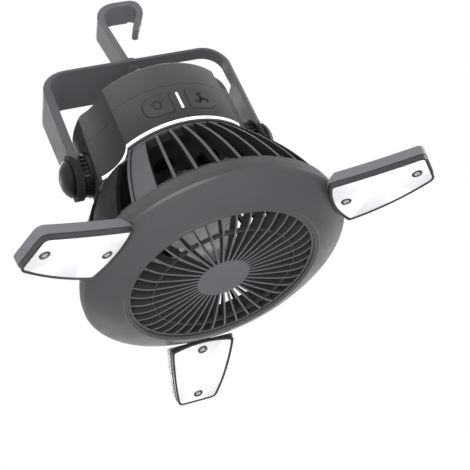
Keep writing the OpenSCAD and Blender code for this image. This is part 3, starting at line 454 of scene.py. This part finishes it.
def distance(s, place, u, v):
    """How far a point of the panel is from (u, v) in the panel's own plane."""
    x, y, _ = s.split(place)
    return s.reach(s.minus(x, u), s.minus(y, v))


def facets(s, place, u, v):
    """Fan-shaped facets round (u, v): a value that steps between 0 and 1 from facet to facet."""
    x, y, _ = s.split(place)
    angle = s.maths("ARCTAN2", s.minus(y, v), s.minus(x, u))
    turns = s.plus(s.times(angle, LENS_FACETS / math.tau), LENS_TURN)
    return s.remap(s.maths("FRACT", turns), start=0.46, end=0.54)


def panel_lens(side):
    """Clear lens over a faceted reflector: white round the lamp, pale grey facets, fine frosting."""
    s = Shader(side + "_lens")
    place = panel_place(s, side)
    lamp = (LAMP_U, LAMP_V[side])
    frost = s.noise(scale=1500)
    facet = facets(s, place, *lamp)
    shade = s.times(facet, s.remap(distance(s, place, *lamp), 4 * MM, 34 * MM))
    body = s.mix(s.remap(frost, 0.4, 0.6), (0.90, 0.91, 0.92), (0.97, 0.975, 0.98))
    relief = s.plus(facet, s.times(frost, 0.25))
    s.surface(
        Base_Color=s.mix(s.times(shade, 0.7), body, (0.55, 0.56, 0.57)),
        Roughness=s.remap(frost, 0.3, 0.7, low=0.12, high=0.26),
        Normal=s.bump(relief, strength=0.12, depth=0.08 * MM, over=s.round_edges(0.3 * MM)),
        Emission_Color=(0.97, 0.985, 1.0),
        Emission_Strength=s.remap(shade, 0.0, 1.0, low=0.52, high=0.38),
    )
    return s.material


def panel_screw(side):
    """Plated screw with a bright, turned centre inside a dark rim that is painted shade round the head.
    """
    s = Shader(side + "_screw")
    place = panel_place(s, side)
    nearest = s.maths("MINIMUM", *[distance(s, place, u, 0.0) for u in PANEL_SCREWS_U])
    rim = s.remap(nearest, SCREW_CENTRE_R, SCREW_CENTRE_R + 0.4 * MM)
    turned = s.node("TexWave", wave_type="RINGS", rings_direction="Z", wave_profile="SAW")
    turned.inputs["Scale"].default_value = 900
    s.feed(turned.inputs["Vector"], place)
    rings = turned.outputs["Fac"]
    bright = s.mix(rings, (0.78, 0.78, 0.79), (0.9, 0.9, 0.91))
    spots = s.clouds(scale=900, detail=4, rough=0.7, part=(0.4, 0.7))
    # The dark rim is painted shade round the screw's head
    painted_rim_shade = s.mix(spots, (0.16, 0.16, 0.165), (0.1, 0.1, 0.105))
    s.surface(
        Base_Color=s.mix(rim, bright, painted_rim_shade),
        Roughness=s.clouds(scale=1500, low=0.28, high=0.42),
        Normal=s.bump(rings, strength=0.2, depth=0.04 * MM, over=s.round_edges(0.3 * MM)),
        Metallic=s.remap(rim, 0.0, 1.0, low=0.4, high=0.9),
    )
    return s.material


def circuit_board(name, colour):
    """Solder mask with a faint weave of tracks."""
    s = Shader(name)
    tracks = s.node("TexBrick")
    settings = {
        "Scale": 220,
        "Mortar Size": 0.04,
        "Color1": colour,
        "Color2": tone(colour, 0.9),
        "Mortar": tone(colour, 0.7),
        "Vector": s.place,
    }
    for socket, value in settings.items():
        s.feed(tracks.inputs[socket], value)
    s.surface(
        Base_Color=tracks.outputs["Color"],
        Roughness=s.clouds(scale=400, low=0.35, high=0.5),
        Normal=s.bump(tracks.outputs["Fac"], strength=0.2, depth=0.05 * MM),
    )
    return s.material


def battery_wrap(name, colour):
    """Shrink-wrap over the cells, a little wrinkled."""
    s = Shader(name)
    crease = s.noise(scale=110, detail=4, rough=0.7)
    s.surface(
        Base_Color=s.mix(s.remap(crease, 0.35, 0.65), tone(colour, 0.85), tone(colour, 1.1)),
        Roughness=s.remap(crease, 0.3, 0.7, low=0.2, high=0.35),
        Normal=s.bump(crease, strength=0.15, depth=0.2 * MM, over=s.round_edges(0.4 * MM)),
    )
    return s.material


def grey_plastic(name, factor, **finish):
    """The fan's own grey plastic, darker or lighter by a factor."""
    return moulded_plastic(name, tone(SHELL_GREY, factor), **finish)


# The lit masks paint shade into the bezel, shell, cage and grille, and darken the bracket's eyes on the
# strap
bezel = grey_plastic("bezel_plastic", 1.1, rough=0.34, shine=0.7, dark=0.6, lit=bezel_painted_shade)
shell = grey_plastic("shell_plastic", 1.1, rough=0.34, shine=0.4, dark=0.3, lit=drum_painted_shade)
strap = grey_plastic("strap_plastic", 1.65, rough=0.5, shine=0.2, dark=0.2, lit=beyond_eyes)
hook_arm = grey_plastic("hook_plastic", 2.3, rough=0.46, shine=0.25)
# The cage's skin is paler than the shell as a painted highlight, and its flanks and the walls behind the
# panels are near black as painted shade
cage = grey_plastic("cage_plastic", 1.9, edge=0.3, shine=0.12, dark=0.12, lit=cage_painted_light)
rib = grey_plastic("rib_plastic", 2.1, rough=0.4, radius=0.2 * MM, dark=0.3, lit=grille_painted_shade)
panel_edge = grey_plastic("panel_frame_plastic", 0.55, rough=0.3, shine=0.5)
panel_back = grey_plastic("panel_shell_plastic", 2.7, rough=0.36, shine=0.5)
button_face = grey_plastic("button_plastic", 0.75)
knob = grey_plastic("knob_plastic", 0.1, rough=0.36, edge=0.25)
black = moulded_plastic("black_plastic", (0.012, 0.012, 0.013), rough=0.5)
symbol_ink = moulded_plastic("icon_plastic", (0.006, 0.006, 0.008), rough=0.5, shine=0.1)
blade = gloss_plastic("impeller_plastic", (0.78, 0.79, 0.80))
steel = plated_steel("plated_steel")
dark_steel = plated_steel("blackened_steel", (0.06, 0.06, 0.065), rough=0.45)
can = plated_steel("motor_can", (0.4, 0.41, 0.43), rough=0.35)
rubber = soft_rubber("port_rubber", (0.012, 0.012, 0.012))
glow = glowing_ring("glow_ring")
lamp_board = circuit_board("lamp_board", (0.72, 0.73, 0.70))
logic_board = circuit_board("logic_board", (0.02, 0.12, 0.06))
cell_wrap = battery_wrap("battery_wrap", (0.05, 0.16, 0.36))

NODE_MATERIALS = {
    "front_ring": bezel,
    "grille": rib,
    "rib_cage": cage,
    "cage_screws": dark_steel,
    "impeller": blade,
    "motor": can,
    "motor_shaft": steel,
    "motor_plate": black,
    "plate_screws": steel,
    "light_ring": glow,
    "light_ring_board": lamp_board,
    "control_housing": shell,
    "top_cover": shell,
    "cover_screws": steel,
    "light_button": button_face,
    "fan_button": button_face,
    "indicator_light": glow,
    "control_board": logic_board,
    "battery_cells": cell_wrap,
    "battery_holder": black,
    "charging_socket": steel,
    "port_cover": rubber,
    "bracket": strap,
    "hook": hook_arm,
    "hook_pin": steel,
}
for side in ("left", "right"):
    NODE_MATERIALS[side + "_toothed_disc"] = knob
    NODE_MATERIALS[side + "_knob"] = knob
    NODE_MATERIALS[side + "_pivot_bolt"] = steel
for side in PANEL_SIDES:
    NODE_MATERIALS[side + "_panel_shell"] = panel_back
    NODE_MATERIALS[side + "_panel_frame"] = panel_edge
    NODE_MATERIALS[side + "_panel_lens"] = panel_lens(side)
    NODE_MATERIALS[side + "_panel_board"] = lamp_board
    NODE_MATERIALS[side + "_panel_screws"] = panel_screw(side)
    NODE_MATERIALS[side + "_hinge_pin"] = steel

for name, obj in frame["nodes"].items():
    obj.data.materials.clear()
    obj.data.materials.append(NODE_MATERIALS[name])


# ---- Button symbols ----


def add_ribbon(made, points, width, height, closed):
    """Adds a flat line of the given width along 2D points, standing height high, to a bmesh."""
    count = len(points)
    rows = []
    for i, point in enumerate(points):
        before = points[i - 1] if i or closed else point
        after = points[(i + 1) % count] if i + 1 < count or closed else point
        way = (Vector(after) - Vector(before)).normalized()
        across = Vector((-way.y, way.x)) * width / 2
        edges = (Vector(point) - across, Vector(point) + across)
        rows.append([made.verts.new((edge.x, edge.y, z)) for z in (0, height) for edge in edges])
    # A row's corners are low right, low left, high right and high left, and these are its four sides
    around = ((0, 1), (1, 3), (3, 2), (2, 0))
    for i in range(count if closed else count - 1):
        here, there = rows[i], rows[(i + 1) % count]
        for k, m in around:
            made.faces.new((here[k], here[m], there[m], there[k]))
    if not closed:
        for end in (rows[0], rows[-1]):
            made.faces.new([end[k] for k, _ in around])


def polar(reach, angle, centre=(0, 0)):
    """The flat point at a distance and an angle in degrees from a centre."""
    way = math.radians(angle)
    return (centre[0] + reach * math.cos(way), centre[1] + reach * math.sin(way))


def arc_points(centre, radius, start, end, steps):
    """Points along an arc between two angles in degrees."""
    return [polar(radius, start + (end - start) * i / steps, centre) for i in range(steps + 1)]


def lamp_strokes():
    """A bulb with its foot below it and five rays above it: lines, and whether each is closed."""
    bulb = arc_points(centre=(0, 0.2 * MM), radius=2.6 * MM, start=-55, end=235, steps=24)
    foot = [(x * MM, y * MM) for x, y in ((-1.4, -1.9), (-1.3, -3.4), (1.3, -3.4), (1.4, -1.9))]
    rays = [[polar(3.7 * MM, angle), polar(5.0 * MM, angle)] for angle in (30, 60, 90, 120, 150)]
    return [(line, False) for line in (bulb, foot, *rays)]


def fan_strokes():
    """Three hooked blades round a hub: lines, and whether each is closed."""
    hub = arc_points(centre=(0, 0), radius=0.8 * MM, start=0, end=342, steps=19)
    # One blade's points, as millimetres from the hub's centre and degrees from the blade's foot
    hooked = ((0.9, 0), (2.0, 22), (3.2, 30), (4.3, 22), (4.8, 2), (4.3, -14))
    blades = [[polar(reach * MM, turn + angle) for reach, angle in hooked] for turn in (90, 210, 330)]
    return [(hub, True)] + [(line, False) for line in blades]


def wrap_on_drum(made, radius, middle):
    """Bends a flat drawing (X across, Y up, Z out) round the drum, centred at the angle middle."""
    for vert in made.verts:
        angle = middle + vert.co.x / radius
        reach = radius + vert.co.z
        vert.co = Vector((reach * math.cos(angle), reach * math.sin(angle), BUTTON_Z + vert.co.y))


def button_angle(button):
    """Where a button sits round the drum, in radians: opposite to the way it is pressed."""
    inwards = JOINTS[button + "_press"]["axis"]
    return math.atan2(-inwards[1], -inwards[0])


def mesh_object(name, made, material):
    """Turns a bmesh into an object with one material, and frees the bmesh."""
    mesh = bpy.data.meshes.new(name)
    made.to_mesh(mesh)
    made.free()
    mesh.materials.append(material)
    obj = bpy.data.objects.new(name, mesh)
    bpy.context.collection.objects.link(obj)
    return obj


def symbol(name, strokes, line, button):
    """A thin drawing on a button's face, which moves with the button."""
    made = bmesh.new()
    for points, closed in strokes:
        add_ribbon(made, points, line, SYMBOL_HEIGHT, closed)
    bmesh.ops.recalc_face_normals(made, faces=made.faces)
    wrap_on_drum(made, DRUM_R + BUTTON_PROUD, button_angle(button))
    obj = mesh_object(name, made, symbol_ink)
    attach(obj, button)


symbol("lamp_symbol", lamp_strokes(), LAMP_LINE, "light_button")
symbol("fan_symbol", fan_strokes(), FAN_LINE, "fan_button")


# ---- Stage, light and camera ----


def floor_paper():
    """Pale paper that takes shadows, and that the camera sees mixed towards white."""
    s = Shader("floor_paper")
    s.surface(
        Base_Color=s.mix(s.noise(scale=3, detail=2), (0.86, 0.86, 0.86), (0.9, 0.9, 0.9)),
        Roughness=0.9,
    )
    seen = s.times(s.node("LightPath").outputs["Is Camera Ray"], FLOOR_WHITE)
    white = s.node("Emission").outputs["Emission"]
    shader = s.mix_shaders(seen, s.bsdf.outputs["BSDF"], white)
    s.feed(s.tree.nodes["Material Output"].inputs["Surface"], shader)
    return s.material


def stage_floor():
    made = bmesh.new()
    bmesh.ops.create_grid(made, x_segments=2, y_segments=2, size=FLOOR_REACH)
    floor = mesh_object("stage_floor", made, floor_paper())
    floor.location = (0, 0, FLOOR_Z)


def background(n, colour, strength):
    made = n.node("Background")
    n.feed(made.inputs["Color"], colour)
    n.feed(made.inputs["Strength"], strength)
    return made.outputs["Background"]


def studio_world():
    """White where the camera, gloss and clear pieces look; a dim grey sky for all other light."""
    world = bpy.data.worlds.new("studio")
    bpy.context.scene.world = world
    world.use_nodes = True
    world.node_tree.nodes.clear()
    n = Nodes(world.node_tree)
    rays = n.node("LightPath").outputs
    seen = n.maths("MAXIMUM", rays["Is Camera Ray"], rays["Is Glossy Ray"])
    seen = n.maths("MAXIMUM", seen, rays["Is Transmission Ray"])
    shader = n.mix_shaders(seen, background(n, SKY_COLOUR, SKY_STRENGTH), background(n, WHITE, 1.0))
    n.feed(n.node("OutputWorld").inputs["Surface"], shader)


def soft_box(name, place, target_z, size, power, colour=WHITE):
    """A square lamp, aimed at a height on the fan's axis."""
    data = bpy.data.lights.new(name, "AREA")
    data.shape = "SQUARE"
    data.size = size
    data.energy = power
    data.color = colour
    lamp = bpy.data.objects.new(name, data)
    lamp.location = place
    aim = Vector((0, 0, target_z)) - Vector(place)
    lamp.rotation_euler = aim.to_track_quat("-Z", "Y").to_euler()
    bpy.context.collection.objects.link(lamp)


def photo_camera():
    data = bpy.data.cameras.new("photo_camera")
    data.lens = CAMERA_LENS
    data.sensor_width = CAMERA_FILM
    data.sensor_fit = "HORIZONTAL"
    data.clip_start = 10 * MM
    camera = bpy.data.objects.new("photo_camera", data)
    camera.location = CAMERA_AT
    camera.rotation_euler = Euler([math.radians(angle) for angle in CAMERA_TURN], "XYZ")
    bpy.context.collection.objects.link(camera)
    bpy.context.scene.camera = camera


stage_floor()
studio_world()
soft_box("front_low", place=(-0.5, -1.1, -0.7), target_z=0.05, size=1.0, power=10)
soft_box("right_rim", place=(1.1, -0.1, 0.2), target_z=0.1, size=0.6, power=4, colour=COOL_WHITE)
soft_box("back_above", place=(0.2, 0.8, 0.8), target_z=0.1, size=0.8, power=12)
soft_box("key_above", place=(-0.35, -0.55, 0.95), target_z=0.08, size=0.8, power=1.5)
photo_camera()
bpy.context.scene.view_settings.view_transform = "Standard"
